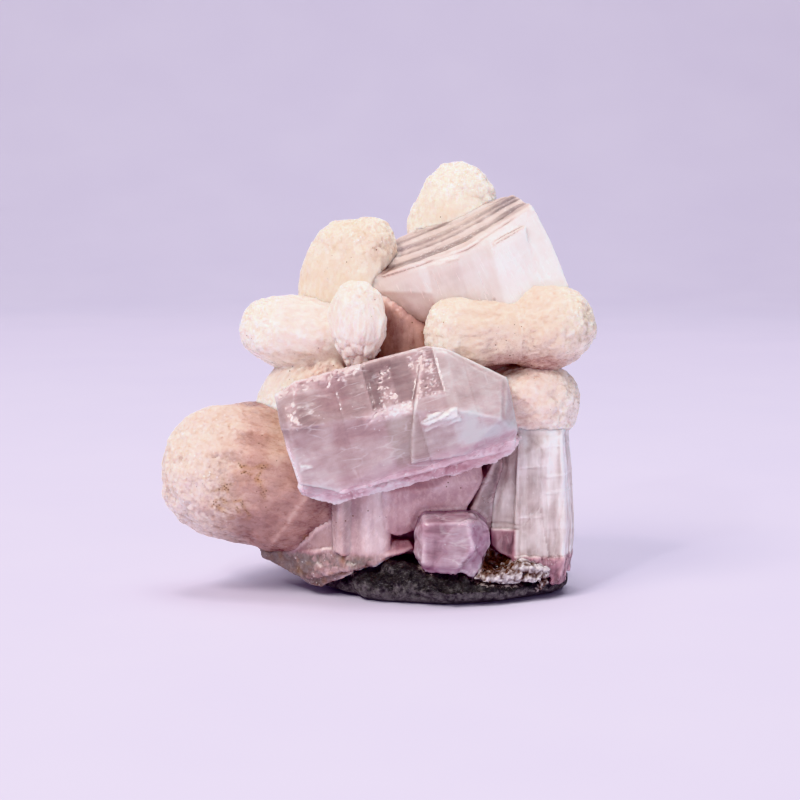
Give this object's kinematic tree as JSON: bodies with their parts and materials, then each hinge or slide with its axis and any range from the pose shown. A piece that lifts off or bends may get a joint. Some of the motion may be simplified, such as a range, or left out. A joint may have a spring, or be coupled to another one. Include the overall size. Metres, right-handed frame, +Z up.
{
  "type": "apophyllite crystal",
  "caption": "Loose mineral specimen: rosy and pearly apophyllite blocks with cream stilbite sheaves on dark basalt, resting on the basalt's flat underside.",
  "frame": {"origin": "middle of the footprint, on the surface that the basalt rests on", "axes": "+X right and -Y to the front, as the big rosy crystal is seen; +Z up"},
  "size_m": [0.0798, 0.0532, 0.0788],
  "materials": {
    "apophyllite_rose": "glassy to pearly, rosy, foggy inside",
    "apophyllite_pearl": "pearly white, striated",
    "stilbite_cream": "silky cream blades with sugary ends",
    "stilbite_peach": "silky peach blades",
    "white_crust": "sugary white crust with brown stains",
    "basalt": "matt, rough, dark grey"
  },
  "bodies": {
    "root": {"basalt_matrix": "basalt", "druse_crust": "white_crust", "apophyllite_front": "apophyllite_rose", "apophyllite_upper": "apophyllite_pearl", "apophyllite_foot": "apophyllite_rose", "apophyllite_column": "apophyllite_pearl", "apophyllite_wedge": "apophyllite_rose", "apophyllite_back": "apophyllite_rose", "stilbite_fan": "stilbite_peach", "stilbite_left": "stilbite_cream", "stilbite_upper_left": "stilbite_cream", "stilbite_bud": "stilbite_cream", "stilbite_crest": "stilbite_cream", "stilbite_bow": "stilbite_cream", "stilbite_ball": "stilbite_cream", "stilbite_base": "stilbite_peach", "stilbite_heart": "stilbite_peach", "stilbite_back_left": "stilbite_cream", "stilbite_back_top": "stilbite_cream"}
  },
  "joints": []
}
